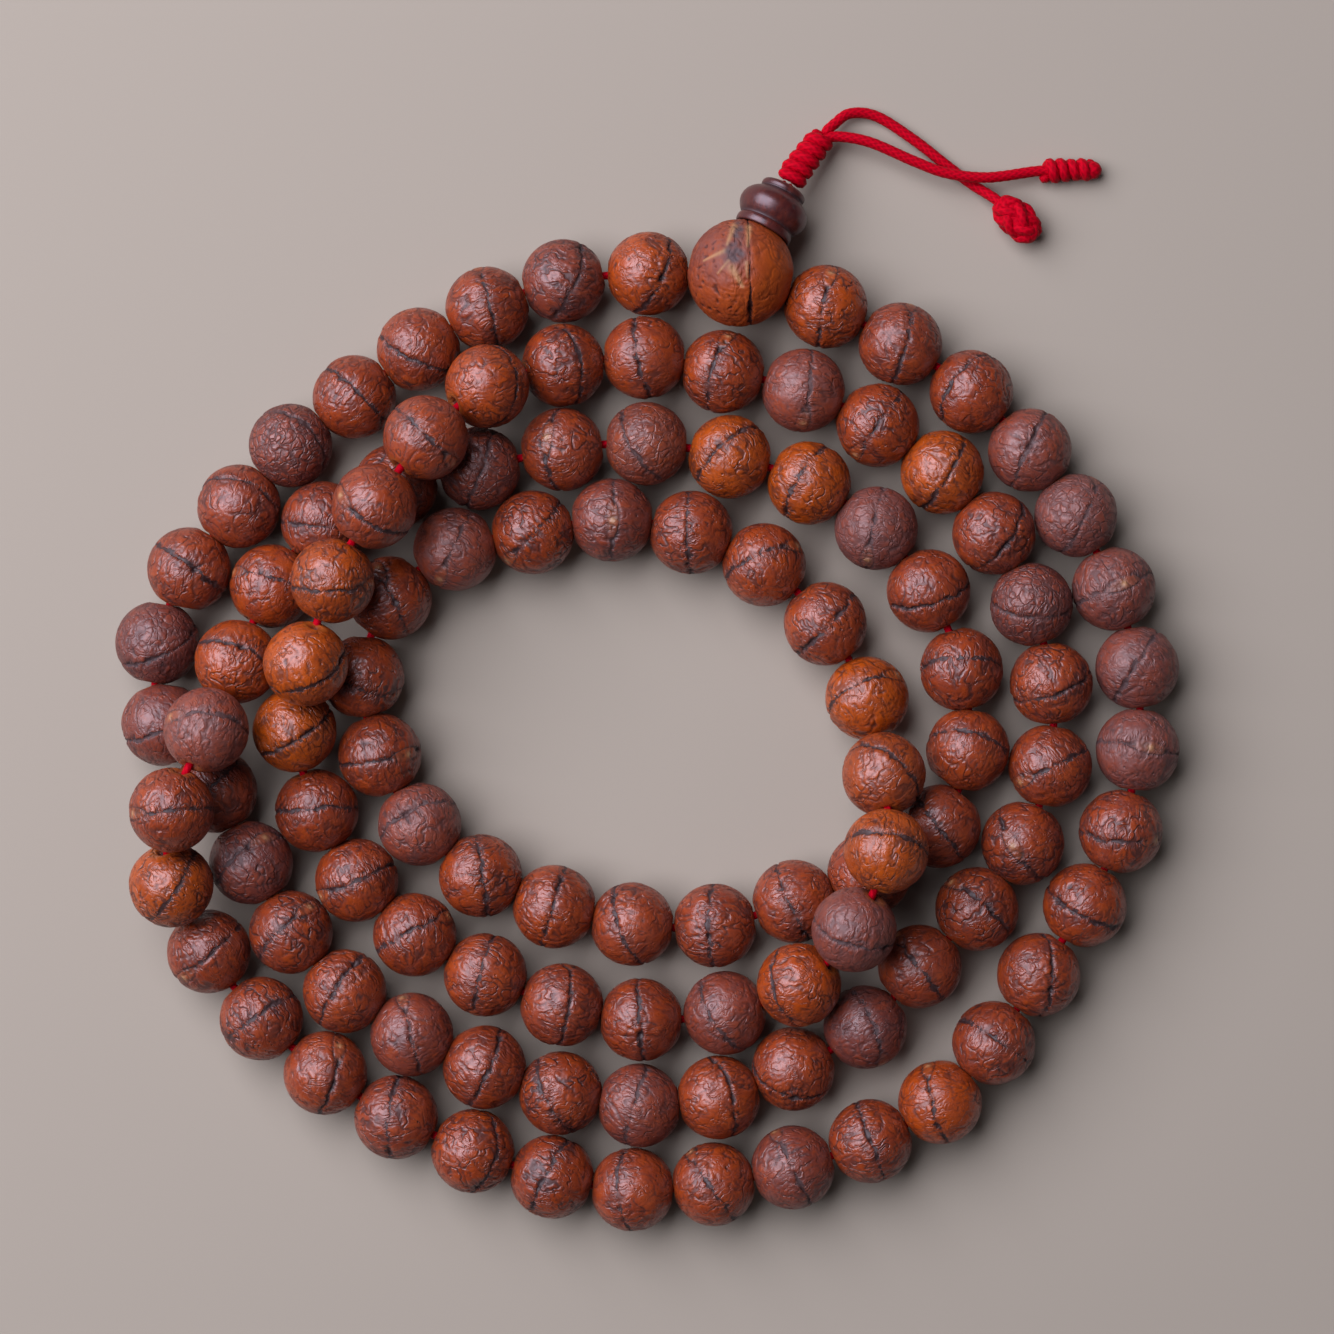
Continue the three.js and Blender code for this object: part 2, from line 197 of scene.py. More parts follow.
# ---- material helpers ----
class Nodes:
    """Short ways to make and join the nodes of one material."""

    def __init__(self, name):
        self.material = bpy.data.materials.new(name)
        self.material.use_nodes = True
        self.nodes, self.links = self.material.node_tree.nodes, self.material.node_tree.links
        self.shader = self.nodes["Principled BSDF"]

    def make(self, kind, inputs=(), **settings):
        node = self.nodes.new(kind)
        for key, value in settings.items():
            setattr(node, key, value)
        for key, value in dict(inputs).items():
            self.feed(node.inputs[key], value)
        return node

    def feed(self, socket, value):
        if isinstance(value, bpy.types.NodeSocket):
            self.links.new(value, socket)
        else:
            socket.default_value = value

    def maths(self, operation, *values):
        node = self.make("ShaderNodeMath", operation=operation)
        for socket, value in zip(node.inputs, values):
            self.feed(socket, value)
        return node.outputs[0]

    def vector_maths(self, operation, *values):
        node = self.make("ShaderNodeVectorMath", operation=operation)
        for socket, value in zip(node.inputs, values):
            self.feed(socket, value)
        return node.outputs[0]

    def remap(self, value, low, high, to_low=0.0, to_high=1.0):
        inputs = {"Value": value, "From Min": low, "From Max": high, "To Min": to_low, "To Max": to_high}
        return self.make("ShaderNodeMapRange", inputs).outputs["Result"]

    def mix(self, factor, a, b, blend="MIX"):
        node = self.make("ShaderNodeMix", data_type="RGBA", blend_type=blend)
        self.feed(node.inputs["Factor"], factor)
        self.feed(node.inputs["A"], (*a, 1) if isinstance(a, tuple) else a)
        self.feed(node.inputs["B"], (*b, 1) if isinstance(b, tuple) else b)
        return node.outputs["Result"]

    def noise(self, vector, scale, detail=2.0, roughness=0.5, distortion=0.0):
        inputs = {"Vector": vector, "Scale": scale, "Detail": detail, "Roughness": roughness}
        inputs["Distortion"] = distortion
        return self.make("ShaderNodeTexNoise", inputs).outputs[0]

    def attribute(self, name):
        return self.make("ShaderNodeAttribute", attribute_name=name)

    def greatest(self, *values):
        found = values[0]
        for value in values[1:]:
            found = self.maths("MAXIMUM", found, value)
        return found

    def level_line(self, value, width):
        """1 along the lines where a noise crosses its middle, falling to 0 at width either side."""
        off = self.maths("ABSOLUTE", self.maths("SUBTRACT", value, 0.5))
        return self.remap(off, width * 0.15, width, 1.0, 0.0)

    def components(self, vector):
        return list(self.make("ShaderNodeSeparateXYZ", {"Vector": vector}).outputs)

    def channels(self, name):
        node = self.attribute(name)
        split = self.make("ShaderNodeSeparateColor", {"Color": node.outputs["Color"]})
        return [*split.outputs[:3], node.outputs["Alpha"]]

    def bump(self, height, distance, strength=1.0):
        inputs = {"Height": height, "Distance": distance, "Strength": strength}
        self.feed(self.shader.inputs["Normal"], self.make("ShaderNodeBump", inputs).outputs[0])


# ---- mesh helpers ----
def mesh_object(name, vertices, faces, body, slot, node, material, **attributes):
    """A smooth-shaded mesh from vertices in millimetres in the frame, none of them below the floor.

    It rides on body and replaces node.
    """
    vertices = np.array(vertices, float)
    vertices[:, 2] = np.maximum(vertices[:, 2], FLOOR_CLEARANCE)
    mesh = bpy.data.meshes.new(name)
    mesh.vertices.add(len(vertices))
    mesh.vertices.foreach_set("co", np.asarray(vertices, np.float32).ravel() * MM)
    faces = [np.asarray(f, np.int32) for f in faces]
    loops = np.concatenate([f.ravel() for f in faces])
    sizes = np.concatenate([np.full(len(f), f.shape[1], np.int32) for f in faces])
    mesh.loops.add(len(loops))
    mesh.loops.foreach_set("vertex_index", loops)
    mesh.polygons.add(len(sizes))
    mesh.polygons.foreach_set("loop_start", np.concatenate([[0], np.cumsum(sizes)[:-1]]).astype(np.int32))
    mesh.polygons.foreach_set("use_smooth", np.ones(len(sizes), bool))
    mesh.update(calc_edges=True)
    for key, values in attributes.items():
        values = np.asarray(values, np.float32)
        kind = "FLOAT_COLOR" if values.shape[1] == 4 else "FLOAT_VECTOR"
        data = mesh.attributes.new(key, kind, "POINT").data
        data.foreach_set("color" if kind == "FLOAT_COLOR" else "vector", values.ravel())
    mesh.materials.append(material)
    made = bpy.data.objects.new(name, mesh)
    bpy.context.scene.collection.objects.link(made)
    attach(made, body)
    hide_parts(node)
    return made


def smooth_path(points, step):
    """Points about step apart on a Catmull-Rom curve through the given ones."""
    points = np.asarray(points, float)
    points = np.vstack([2 * points[0] - points[1], points, 2 * points[-1] - points[-2]])
    found = []
    for a, b, c, d in zip(points, points[1:], points[2:], points[3:]):
        count = max(2, round(float(np.linalg.norm(c - b)) / step))
        t = (np.arange(count) / count)[:, None]
        found.append(
            b + t * (c - a) / 2 + t**2 * (a - 2.5 * b + 2 * c - d / 2) + t**3 * (1.5 * (b - c) + (d - a) / 2)
        )
    return np.vstack([*found, points[-2:-1]])


def rings_along(path):
    """For each point of a path, its distance along it and two directions square to it that don't twist."""
    tangents = np.gradient(path, axis=0)
    tangents /= np.linalg.norm(tangents, axis=1)[:, None]
    distance = np.concatenate([[0], np.cumsum(np.linalg.norm(np.diff(path, axis=0), axis=1))])
    side = np.cross(tangents[0], [0, 0, 1.0])
    if np.linalg.norm(side) < 0.1:
        side = np.cross(tangents[0], [1.0, 0, 0])
    sides = []
    for tangent in tangents:
        side = side - tangent * (side @ tangent)
        side = side / np.linalg.norm(side)
        sides.append(side)
    sides = np.array(sides)
    return distance, sides, np.cross(sides, tangents)


def braided(path, radius, sides=24, relief=0.09):
    """Vertices, faces and attributes of a round braid with rounded ends. The radius may vary along it.

    Half of the strands wind each way, and each lies over in every other column between them.
    """
    distance, side, rise = rings_along(path)
    radius = np.broadcast_to(radius, len(path))
    angles = 2 * math.pi * np.arange(sides) / sides
    around, along = np.meshgrid(angles, distance)
    turn = 2 * math.pi * along / BRAID_PITCH
    ways = BRAID_STRANDS / 2
    left, right = ways * around + ways / 2 * turn, ways * around - ways / 2 * turn
    over = 0.7 * np.cos(ways * around)
    weave = np.maximum(np.cos(left) + over, np.cos(right) - over) / 1.7
    end = np.minimum(distance, distance[-1] - distance)
    closing = np.sqrt(np.clip(1 - (1 - np.clip(end / radius, 0, 1)) ** 2, 0.02, 1))
    size = (radius * closing)[:, None] * (1 - relief * (1 - weave))
    offset = size[..., None] * (
        np.cos(around)[..., None] * side[:, None] + np.sin(around)[..., None] * rise[:, None]
    )
    vertices = (path[:, None] + offset).reshape(-1, 3)
    ring = np.arange(len(path) - 1)[:, None] * sides
    here = np.arange(sides)[None]
    following = (here + 1) % sides
    quads = np.stack([ring + here, ring + following, ring + sides + following, ring + sides + here], -1)
    first, last = len(vertices), len(vertices) + 1
    vertices = np.vstack([vertices, path[:1], path[-1:]])
    base = (len(path) - 1) * sides
    start_fan = np.stack([np.full(sides, first), following[0], here[0]], -1)
    end_fan = np.stack([np.full(sides, last), base + here[0], base + following[0]], -1)
    marks = np.zeros((len(vertices), 4))
    marks[:-2, 0] = np.clip(0.75 - 0.75 * weave, 0, 1).ravel()
    marks[:, 3] = 1
    grain = np.zeros((len(vertices), 3))
    grain[:-2] = np.stack([left, right, along], -1).reshape(-1, 3)
    return vertices, [quads.reshape(-1, 4), start_fan, end_fan], marks, grain


def joined(parts):
    """Several braids' vertices, faces, marks and grain as one mesh's."""
    vertices, quads, triangles, marks, grain = [], [], [], [], []
    count = 0
    for v, faces, m, g in parts:
        vertices.append(v)
        quads.append(faces[0] + count)
        triangles += [f + count for f in faces[1:]]
        marks.append(m)
        grain.append(g)
        count += len(v)
    return np.vstack(vertices), [np.vstack(quads), np.vstack(triangles)], np.vstack(marks), np.vstack(grain)


def local_axes(along):
    """Side, along and rise, as rows, for something whose y axis is along and whose rise is nearly up."""
    along = np.asarray(along, float) / np.linalg.norm(along)
    side = np.cross(along, [0, 0, 1.0])
    side /= np.linalg.norm(side)
    return np.array([side, along, np.cross(side, along)])


def gradient_noise(points, seed):
    """Smooth noise from about -1 to 1 at each point, with features one unit across."""
    order = np.random.default_rng(seed)
    table = order.permutation(256)
    slopes = order.normal(size=(256, 3))
    slopes /= np.linalg.norm(slopes, axis=1)[:, None]
    cell = np.floor(points).astype(np.int64)
    inside = points - cell
    fade = inside**3 * (inside * (inside * 6 - 15) + 10)
    total = np.zeros(len(points))
    for corner in itertools.product((0, 1), repeat=3):
        at = cell + corner
        chosen = table[(table[(table[at[:, 0] & 255] + at[:, 1]) & 255] + at[:, 2]) & 255]
        weight = np.prod(np.where(corner, fade, 1 - fade), axis=1)
        total += weight * ((inside - corner) * slopes[chosen]).sum(1)
    return total * 1.6


def rounded_cube(divisions):
    """Unit directions spread evenly over a sphere, and the quads between them."""
    steps = np.tan(np.linspace(-1, 1, divisions + 1) * math.pi / 4)
    u, v = (a.ravel() for a in np.meshgrid(steps, steps))
    corners = np.arange((divisions + 1) ** 2).reshape(divisions + 1, -1)
    quad = np.stack([corners[:-1, :-1], corners[:-1, 1:], corners[1:, 1:], corners[1:, :-1]], -1)
    points, quads = [], []
    for axis in range(3):
        for sign in (1, -1):
            face = np.empty((len(u), 3))
            face[:, axis], face[:, (axis + 1) % 3], face[:, (axis + 2) % 3] = sign, u, v
            quads.append(quad.reshape(-1, 4)[:, ::sign] + len(points) * len(u))
            points.append(face)
    points = np.vstack(points)
    points /= np.linalg.norm(points, axis=1)[:, None]
    _, first, inverse = np.unique(np.round(points, 6), axis=0, return_index=True, return_inverse=True)
    return points[first], inverse.reshape(-1)[np.vstack(quads)]


def bell(x, width):
    return np.exp(-((x / width) ** 2))


def soft_limit(values, most, softness=0.02):
    """The values, rounded off so that they stay under most."""
    return most - softness * np.logaddexp(0, (most - values) / softness)


# ---- where the strand comes to rest ----
def lay_point(parameter):
    """A point on the closed uniform Catmull-Rom curve through LAY."""
    i = math.floor(parameter)
    t = parameter - i
    a, b, c, d = (np.array(LAY[(i + k) % len(LAY)], float) for k in (-1, 0, 1, 2))
    leaving, arriving = (c - a) / 2, (d - b) / 2
    bend = -3 * b + 3 * c - 2 * leaving - arriving
    twist = 2 * b - 2 * c + leaving + arriving
    return list(b + leaving * t + bend * t * t + twist * t * t * t)


def allowed_distance(i, j, climb):
    steps = min(j - i, SLOTS - j + i)
    extra = GURU_EXTRA if i == 0 else 0
    if steps == 1:
        return STRUNG_LEAST + extra, STRUNG_MOST + extra
    if steps == 2:
        return SECOND_LEAST + extra, math.inf
    return (STACKED_LEAST if climb > CLIMB else BESIDE_LEAST) + extra, math.inf


def settled_centres():
    """Bead centres after they push each other apart, keep to the cord's length and sink to rest."""
    start = [lay_point(k / 2) for k in range(SLOTS)]
    centres = [list(p) for p in start]

    def keep_off_floor():
        for k, c in enumerate(centres):
            c[2] = max(c[2], BEAD_REST if k else GURU_REST)

    for round_ in range(ROUNDS):
        if round_ < SINKING:
            for c, s in zip(centres, start):
                c[0] += (s[0] - c[0]) * PULL
                c[1] += (s[1] - c[1]) * PULL
                c[2] -= SINK
        keep_off_floor()
        for i in range(SLOTS):
            a = centres[i]
            for j in range(i + 1, SLOTS):
                b = centres[j]
                x, y, z = b[0] - a[0], b[1] - a[1], b[2] - a[2]
                square = x * x + y * y + z * z
                near = j - i <= 1 or j - i >= SLOTS - 1
                if square > 480 and not near:  # further apart than any least distance
                    continue
                length = math.sqrt(square)
                least, most = allowed_distance(i, j, abs(z))
                wanted = min(max(length, least), most)
                if wanted == length:
                    continue
                share = (wanted - length) / 2 / length
                a[0] -= x * share
                a[1] -= y * share
                a[2] -= z * share
                b[0] += x * share
                b[1] += y * share
                b[2] += z * share
    keep_off_floor()
    return np.array(centres)


def bead_frames(centres):
    """Each slot's axes as rows: side, along and rise.

    A tilted bead near the floor is lifted onto its edge.
    """
    axes = []
    for k in range(SLOTS):
        along = centres[(k + 1) % SLOTS] - centres[k - 1]
        if k == 0:
            along[2] = 0
        along = along / np.linalg.norm(along)
        if k:
            tilt = math.asin(abs(along[2]))
            lowest = BEAD_REST * math.cos(tilt) + BEAD_FLAT * math.sin(tilt)
            centres[k, 2] = max(centres[k, 2], lowest)
        axes.append(local_axes(along))
    return np.array(axes)


def meeting_planes(centres, axes):
    """Between each slot and the next, a point on the plane where they meet and its direction.

    A free bead meets its neighbours in planes square to its own bore.
    """
    planes = []
    for k in range(SLOTS):
        following = (k + 1) % SLOTS
        step = centres[following] - centres[k]
        gap = np.linalg.norm(step)
        share = 0.5 + 0.5 * GURU_EXTRA / gap * ((k == 0) - (following == 0))
        point = centres[k] + step * share
        free = k if k in FREE else following if following in FREE else None
        planes.append((point, step / gap if free is None else axes[free][1]))
    return planes


# ---- materials ----
def seed_material(name, dark, middle, bright, roughness, shine):
    """Polished seed coat.

    marks say where it is hollow or netted with cracks, both drawn darker as painted shade, and where it is
    pale or worn. finish gives its tone, grey patches, dust and how wrinkled it is; on the guru seed the tone
    also paints fill light on its shaded side. grain places the fine detail, and place gives the distance from
    the suture (y) and from the star (z).
    """
    n = Nodes(name)
    hollow_shade, pale, worn, net = n.channels("marks")
    tone, patch, dust, wrinkled = n.channels("finish")
    grain = n.attribute("grain").outputs["Vector"]
    _, suture_distance, star_distance = n.components(n.attribute("place").outputs["Vector"])

    mottle = n.noise(grain, 0.42, 3.0, 0.55)
    shade = n.maths("ADD", tone, n.remap(mottle, 0.3, 0.7, -0.22, 0.22))
    low = n.mix(n.remap(shade, 0.0, 0.5), dark, middle)
    body = n.mix(n.remap(shade, 0.5, 1.0), low, bright)
    streaks = n.noise(n.vector_maths("MULTIPLY", grain, (1.3, 0.35, 1.3)), 1.1, 4.0, 0.6, 0.4)
    body = n.mix(n.remap(streaks, 0.50, 0.70, 0.0, 0.6), body, bright)

    # the suture is a crack that opens and closes, with ragged sides
    ragged = n.remap(n.noise(grain, 1.9, 3.0, 0.65), 0.3, 0.7, -0.24, 0.24)
    opening = n.remap(n.noise(grain, 0.75, 2.0), 0.41, 0.64, 0.02, 0.50)
    off = n.maths("ABSOLUTE", n.maths("ADD", suture_distance, ragged))
    crack = n.remap(off, n.maths("MULTIPLY", opening, 0.45), n.maths("MULTIPLY", opening, 1.2), 1.0, 0.0)
    hole = n.remap(n.maths("ADD", star_distance, ragged), 0.18, 0.48, 1.0, 0.0)

    # wrinkles run across the suture and branch, and a net of cracks covers some seeds
    warp = n.make("ShaderNodeTexNoise", {"Vector": grain, "Scale": 0.55, "Detail": 2.0}).outputs["Color"]
    bent = n.vector_maths("ADD", grain, n.vector_maths("MULTIPLY", warp, (1.7, 1.7, 1.7)))
    wrinkle = n.level_line(n.noise(n.vector_maths("MULTIPLY", bent, (1.0, 0.34, 1.0)), 0.80, 1.0, 0.4), 0.085)
    wrinkle = n.maths("MULTIPLY", wrinkle, n.remap(n.noise(grain, 0.33, 1.0), 0.38, 0.56, 0.15, 1.0))
    branch = n.level_line(n.noise(n.vector_maths("MULTIPLY", bent, (1.0, 0.22, 1.0)), 1.35, 1.0, 0.4), 0.10)
    branch = n.maths("MULTIPLY", branch, n.remap(off, 0.3, 2.3, 0.95, 0.0))
    fold = n.level_line(n.noise(n.vector_maths("MULTIPLY", bent, (1.0, 0.5, 1.0)), 1.5, 1.0, 0.4), 0.06)
    fold = n.maths("MULTIPLY", fold, n.remap(n.noise(grain, 0.45, 1.0), 0.46, 0.62, 0.0, 0.55))
    cells = n.make("ShaderNodeTexVoronoi", {"Vector": bent, "Scale": 0.75}, feature="DISTANCE_TO_EDGE")
    mesh = n.remap(cells.outputs["Distance"], 0.01, 0.11, 1.0, 0.0)
    mesh = n.maths("MULTIPLY", mesh, n.maths("MULTIPLY_ADD", net, 0.85, 0.05))
    spots = n.make("ShaderNodeTexVoronoi", {"Vector": grain, "Scale": 1.25, "Randomness": 1.0})
    pore = n.remap(spots.outputs["Distance"], 0.12, 0.26, 0.85, 0.0)
    pore = n.maths("MULTIPLY", pore, n.remap(n.noise(grain, 0.5, 1.0), 0.5, 0.62))
    fine = n.maths("MULTIPLY", n.greatest(wrinkle, branch, fold, mesh, pore), wrinkled)
    open_ = n.greatest(crack, hole)

    # painted shade: hollows, the bore's mouth, wrinkles, cracks and pores are drawn darker, towards a
    # near-black of the darkest colour
    hollow = n.greatest(hollow_shade, n.maths("MULTIPLY", fine, 0.82), open_)
    deep = (dark[0] * 0.10, dark[1] * 0.12, dark[2] * 0.34)
    colour = n.mix(n.remap(hollow, 0.05, 0.9, 0.0, 0.96), body, deep)
    dusty = n.remap(n.noise(grain, 0.8, 4.0, 0.65), 0.35, 0.7, 0.18, 0.66)
    colour = n.mix(n.maths("MULTIPLY", dust, dusty), colour, (0.185, 0.082, 0.078))
    colour = n.mix(n.maths("MULTIPLY", pale, 0.8), colour, (0.46, 0.25, 0.12))
    colour = n.mix(n.maths("MULTIPLY", worn, 0.75), colour, (0.52, 0.16, 0.030))
    colour = n.mix(n.maths("MULTIPLY", patch, 0.85), colour, (0.085, 0.066, 0.078))
    n.feed(n.shader.inputs["Base Color"], colour)

    gloss = n.remap(n.noise(grain, 1.7, 4.0, 0.6), 0.3, 0.7, roughness - 0.05, roughness + 0.08)
    gloss = n.maths("MULTIPLY_ADD", dust, 0.14, gloss)
    n.feed(n.shader.inputs["Roughness"], n.maths("MULTIPLY_ADD", hollow, 0.30, gloss))
    ripple = n.noise(n.vector_maths("MULTIPLY", grain, (1.0, 0.55, 1.0)), 1.25, 3.0, 0.5)
    n.bump(n.maths("SUBTRACT", n.maths("MULTIPLY", ripple, 0.45), n.greatest(fine, open_)), 0.00014, 0.9)
    n.shader.inputs["Specular IOR Level"].default_value = shine
    n.shader.inputs["Specular Tint"].default_value = (0.84, 0.90, 1.0, 1)
    return n.material


def cord_material():
    n = Nodes("red_cord")
    hollow, _, _, _ = n.channels("marks")
    grain = n.attribute("grain").outputs["Vector"]
    fibre = n.noise(n.vector_maths("MULTIPLY", grain, (5.0, 1.2, 0.8)), 2.2, 3.0, 0.6)
    red = n.mix(n.remap(fibre, 0.3, 0.7), (0.41, 0.0, 0.008), (0.74, 0.0, 0.019))
    shadow = n.remap(hollow, 0.20, 0.9, 0.0, 0.62)
    n.feed(n.shader.inputs["Base Color"], n.mix(shadow, red, (0.14, 0.0, 0.003)))
    n.feed(n.shader.inputs["Roughness"], n.remap(fibre, 0.3, 0.7, 0.50, 0.68))
    n.bump(n.maths("SUBTRACT", n.maths("MULTIPLY", fibre, 0.5), hollow), 0.00008, 0.7)
    n.shader.inputs["Specular IOR Level"].default_value = 0.3
    n.shader.inputs["Specular Tint"].default_value = (1.0, 0.12, 0.22, 1)
    return n.material


def wood_material():
    """Dark polished wood: grain along the turned axis, painted shade in the grooves, underneath and in the
    bore, and a few nicks.
    """
    n = Nodes("stopper_wood")
    groove, _, _, _ = n.channels("marks")
    grain = n.attribute("grain").outputs["Vector"]
    fibres = n.noise(n.vector_maths("MULTIPLY", grain, (1.6, 0.22, 1.6)), 1.5, 6.0, 0.62, 0.5)
    cloud = n.noise(grain, 0.35, 2.0)
    body = n.mix(n.remap(fibres, 0.32, 0.68), (0.036, 0.007, 0.008), (0.120, 0.020, 0.012))
    body = n.mix(n.remap(cloud, 0.4, 0.65, 0.0, 0.6), body, (0.060, 0.011, 0.012))
    spots = n.make("ShaderNodeTexVoronoi", {"Vector": grain, "Scale": 0.5, "Randomness": 1.0})
    nick = n.remap(spots.outputs["Distance"], 0.06, 0.20, 1.0, 0.0)
    # painted shade in the grooves, underneath and in the bore, together with the real nicks
    darkening = n.maths("MAXIMUM", groove, n.maths("MULTIPLY", nick, 0.7))
    n.feed(n.shader.inputs["Base Color"], n.mix(n.maths("MULTIPLY", darkening, 0.8), body, (0.018, 0.008, 0.010)))
    gloss = n.remap(n.noise(grain, 1.3, 4.0), 0.3, 0.7, 0.27, 0.38)
    n.feed(n.shader.inputs["Roughness"], n.maths("MULTIPLY_ADD", darkening, 0.25, gloss))
    turning = n.noise(n.vector_maths("MULTIPLY", grain, (0.15, 6.0, 0.15)), 1.4, 2.0)
    height = n.maths("MULTIPLY_ADD", fibres, 0.4, n.maths("MULTIPLY", turning, 0.3))
    n.bump(n.maths("SUBTRACT", height, nick), 0.00006, 0.7)
    n.shader.inputs["Specular IOR Level"].default_value = 0.9
    n.shader.inputs["Specular Tint"].default_value = (0.92, 0.86, 1.0, 1)
    return n.material


# ---- seeds ----
def turned_about_bore(spin, lean, twist):
    """Rows are the anatomy's axes in a bead's side, along, rise.

    x and z span the suture, and z is the star's pole.
    """
    cs, ss, cl, sl, ct, st = (f(a) for a in (spin, lean, twist) for f in (math.cos, math.sin))
    about_bore = np.array([[cs, 0, -ss], [0, 1, 0], [ss, 0, cs]])
    about_side = np.array([[1, 0, 0], [0, cl, sl], [0, -sl, cl]])
    about_rise = np.array([[ct, st, 0], [-st, ct, 0], [0, 0, 1]])
    return about_bore @ about_side @ about_rise


def seed_look(k):
    """How seed k is turned about the cord, and its tone, dust and net of cracks."""
    spin = rng.uniform(0.26, 0.74) * math.pi * rng.choice([-1, 1])
    lean, twist = rng.normal(0, 0.24), rng.normal(0, 0.38)
    tone, dust, net = rng.uniform(0.36, 0.62), rng.uniform(0.0, 0.20), rng.uniform(0, 0.30)
    if k in STAR_UP:
        spin = rng.normal(0, 0.16)
    if k in HILUM_UP:
        spin = math.pi + rng.normal(0, 0.12)
    if k in BRIGHT:
        tone, dust = rng.uniform(0.74, 0.92), rng.uniform(0, 0.05)
    if k in DULL:
        tone, dust = rng.uniform(0.12, 0.30), rng.uniform(0.35, 0.6)
    if k in PALE_DULL:
        tone, dust = rng.uniform(0.28, 0.45), rng.uniform(0.7, 0.95)
    if k in CRACKLED:
        net = 1.0
    return turned_about_bore(spin, lean, twist), tone, dust, net


def seed_relief(anatomy, radius, key, depth):
    """Height over the plain shape, how hollow it is (drawn darker as painted shade), how pale it is, and the
    distances that materials use.

    anatomy holds unit directions with the suture in the plane y = 0, key keeps each seed's noise its own,
    and depth says how deep each seed's suture is.
    """
    place = anatomy * radius
    moved = place + key
    wobble = 0.30 * gradient_noise(moved / 1.9, 1) + 0.10 * gradient_noise(moved / 0.6, 2)
    across = radius * np.arcsin(np.clip(anatomy[:, 1], -1, 1)) + wobble
    ragged = np.clip(0.48 + 0.95 * gradient_noise(moved / 1.5, 3), 0.03, 1.15)
    groove = bell(across, 0.16 + 0.05 * ragged) * ragged * depth
    lips = bell(np.abs(across) - 0.75, 0.42) * ragged
    pits = bell(across, 0.85) * np.clip(gradient_noise(moved / 0.55, 4) - 0.30, 0, 1) * 1.9

    bent = moved + 1.1 * np.stack([gradient_noise(moved / 2.4, s) for s in (5, 6, 7)], -1)
    broad = gradient_noise(bent / (1.25, 3.0, 1.25), 8)
    slim = gradient_noise(bent / (0.72, 1.7, 0.72), 9)
    showing = np.clip(0.55 + 1.1 * gradient_noise(moved / 3.2, 10), 0.05, 1)
    wrinkle = bell(broad, 0.085) * showing
    crease = bell(slim, 0.10) * np.clip(1.05 - showing, 0, 1)

    star_distance = radius * np.arccos(np.clip(anatomy[:, 2], -1, 1))
    bearing = np.arctan2(anatomy[:, 1], anatomy[:, 0])
    hole = bell(star_distance, 0.42)
    bowl = bell(star_distance, 1.5)
    rays = 0.5 + 0.5 * np.cos(9 * bearing + 2.2 * gradient_noise(moved / 2.5, 11))
    rays = rays**4 * bell(star_distance - 1.4, 1.0)

    end = -anatomy[:, 2] > 0
    lens = np.hypot(place[:, 0] / 2.5, place[:, 1] / 0.85)
    lens_edge = np.where(end, bell(lens - 1, 0.16), 0)
    in_lens = np.where(end, np.clip((1 - lens) * 3, 0, 1), 0)
    nub = np.where(end, bell(np.hypot(place[:, 0], place[:, 1]), 0.34), 0)
    groove = groove * (1 - 0.85 * in_lens)

    lumps = 0.12 * gradient_noise(moved / 5.5, 12) + 0.07 * gradient_noise(moved / 2.1, 13) - 0.03
    height = lumps + 0.08 * lips - 0.36 * groove - 0.26 * np.clip(pits, 0, 1)
    height += -0.16 * wrinkle - 0.10 * crease - 0.42 * hole - 0.14 * bowl - 0.15 * rays
    height += -0.13 * lens_edge - 0.05 * in_lens + 0.16 * nub
    # painted shade: how much darker each point is drawn for lying in a groove, pit, wrinkle, crease, the
    # star's hole, bowl or rays, or the lens's edge; the nub is kept light
    hollow = np.clip(
        1.0 * groove + 0.85 * np.clip(pits, 0, 1) + 0.80 * wrinkle + 0.62 * crease
        + 1.0 * hole + 0.12 * bowl + 0.40 * rays + 0.5 * lens_edge - 0.8 * nub, 0, 1)
    pale = np.clip(nub * 1.1 + 0.10 * in_lens, 0, 1)
    suture_distance = across + np.where(end, 3 * in_lens, 0)
    return height, hollow, pale, np.stack([place[:, 0], suture_distance, star_distance], -1)


